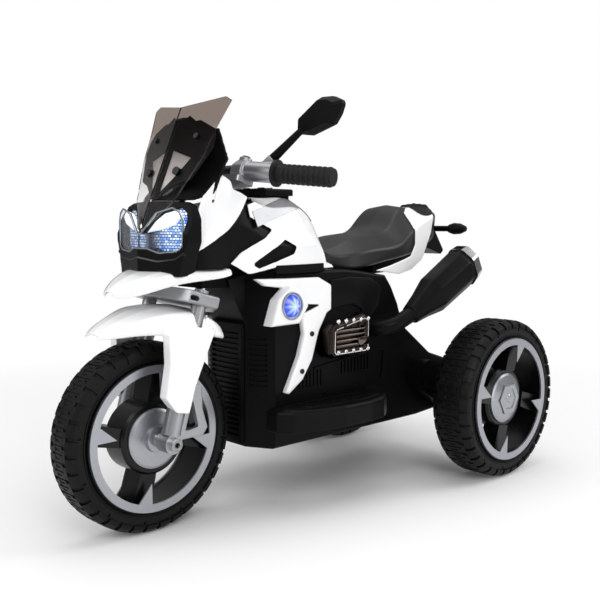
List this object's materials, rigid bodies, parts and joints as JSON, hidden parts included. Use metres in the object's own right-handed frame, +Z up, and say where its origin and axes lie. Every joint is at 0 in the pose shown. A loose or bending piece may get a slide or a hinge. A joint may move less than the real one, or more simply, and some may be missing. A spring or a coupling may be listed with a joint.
{
  "type": "kids electric motorbike",
  "caption": "Battery ride-on motorbike for a child: steering front fork, driven rear wheels, white fairing with a smoked screen, moulded seat and steps.",
  "frame": {"origin": "on the ground, under the middle of the bike's length and width", "axes": "+X forward, +Y to the rider's left, +Z up"},
  "size_m": [0.995, 0.522, 0.7038],
  "materials": {
    "tyre": "matte",
    "black_rim": "satin",
    "silver_trim": "bright silver",
    "silver_paint": "silver",
    "steel": "zinc plated",
    "black_steel": "satin black",
    "grip_rubber": "matte",
    "white_gloss": "gloss",
    "black_plastic": "fine grain",
    "button_plastic": "satin",
    "seat_plastic": "grained",
    "smoked_screen": "clear smoked",
    "lamp_lens": "clear",
    "lamp_reflector": "mirror",
    "lamp_blue": "faceted",
    "engine_chrome": "chrome",
    "battery_case": "satin"
  },
  "bodies": {
    "chassis": {"tank_bands": "silver_paint", "rear_axle": "steel", "panel_screws": "steel", "tank_cover": "white_gloss", "nose_cowl": "white_gloss", "beak": "white_gloss", "side_fairing_left": "white_gloss", "side_fairing_right": "white_gloss", "tail_panel_left": "white_gloss", "tail_panel_right": "white_gloss", "body_shell_left": "black_plastic", "body_shell_right": "black_plastic", "radiator_panel": "black_plastic", "dash_panel": "black_plastic", "nose_cheeks": "black_plastic", "headlamp_housing": "black_plastic", "screen_shield": "black_plastic", "footboard_left": "black_plastic", "footboard_right": "black_plastic", "undertail": "black_plastic", "gearbox_left": "black_plastic", "gearbox_right": "black_plastic", "turn_signals": "black_plastic", "muffler_left": "black_plastic", "muffler_right": "black_plastic", "seat": "seat_plastic", "windscreen": "smoked_screen", "headlamp_lens": "lamp_lens", "headlamp_reflector": "lamp_reflector", "side_lamps": "lamp_blue", "engine_covers": "engine_chrome", "muffler_tips": "engine_chrome", "battery": "battery_case"},
    "steering": {"steering_column": "steel", "fork_crown": "silver_paint", "fork_legs": "silver_paint", "brake_brackets": "silver_paint", "front_axle": "steel", "front_mudguard": "white_gloss", "top_yoke": "silver_paint", "handlebar": "black_steel", "bar_clamps": "silver_paint", "grip_left": "grip_rubber", "grip_right": "grip_rubber"},
    "front_wheel": {"front_tyre": "tyre", "front_rim": "black_rim", "front_trim": "silver_trim"},
    "rear_wheel_left": {"rear_tyre_left": "tyre", "rear_rim_left": "black_rim", "rear_trim_left": "silver_trim"},
    "rear_wheel_right": {"rear_tyre_right": "tyre", "rear_rim_right": "black_rim", "rear_trim_right": "silver_trim"},
    "horn_button": {"horn_button": "button_plastic"},
    "music_button": {"music_button": "button_plastic"},
    "mirror_left": {"mirror_left": "black_plastic"},
    "mirror_right": {"mirror_right": "black_plastic"},
    "throttle_pedal": {"throttle_pedal": "black_plastic"},
    "power_switch": {"power_switch": "button_plastic"},
    "direction_switch": {"direction_switch": "button_plastic"}
  },
  "joints": [
    {"name": "steering_turn", "type": "hinge", "parent": "chassis", "child": "steering", "pos_m": [0.29344, 0, 0.14222], "axis": [-0.2756, 0, 0.9613], "range_deg": [-22, 22]},
    {"name": "front_wheel_spin", "type": "hinge", "parent": "steering", "child": "front_wheel", "pos_m": [0.3415, 0, 0.156], "axis": [0, 1, 0], "continuous": true},
    {"name": "rear_left_wheel_spin", "type": "hinge", "parent": "chassis", "child": "rear_wheel_left", "pos_m": [-0.3415, 0.219, 0.156], "axis": [0, 1, 0], "continuous": true},
    {"name": "rear_right_wheel_spin", "type": "hinge", "parent": "chassis", "child": "rear_wheel_right", "pos_m": [-0.3415, -0.219, 0.156], "axis": [0, 1, 0], "continuous": true},
    {"name": "mirror_left_swivel", "type": "hinge", "parent": "steering", "child": "mirror_left", "pos_m": [0.16407, 0.08635, 0.58678], "axis": [-0.4003, 0.6135, 0.6807], "range_deg": [-30, 30]},
    {"name": "mirror_right_swivel", "type": "hinge", "parent": "steering", "child": "mirror_right", "pos_m": [0.16407, -0.08635, 0.58678], "axis": [-0.4003, -0.6135, 0.6807], "range_deg": [-30, 30]},
    {"name": "horn_button_push", "type": "slide", "parent": "steering", "child": "horn_button", "axis": [0.2756, 0, -0.9613], "range_m": [0, 0.003], "stiffness_N_per_m": 400, "springref_m": -0.001},
    {"name": "music_button_push", "type": "slide", "parent": "steering", "child": "music_button", "axis": [0.2756, 0, -0.9613], "range_m": [0, 0.003], "stiffness_N_per_m": 400, "springref_m": -0.001},
    {"name": "throttle_press", "type": "hinge", "parent": "chassis", "child": "throttle_pedal", "pos_m": [0.008, -0.131, 0.18], "axis": [0, 1, 0], "range_deg": [0, 9], "stiffness_Nm_per_rad": 2, "springref_deg": -8.59},
    {"name": "power_switch_rock", "type": "hinge", "parent": "chassis", "child": "power_switch", "pos_m": [0.094, 0.02, 0.558], "axis": [0, 1, 0], "range_deg": [-8, 8]},
    {"name": "direction_switch_rock", "type": "hinge", "parent": "chassis", "child": "direction_switch", "pos_m": [0.094, -0.02, 0.558], "axis": [0, 1, 0], "range_deg": [-8, 8]}
  ]
}
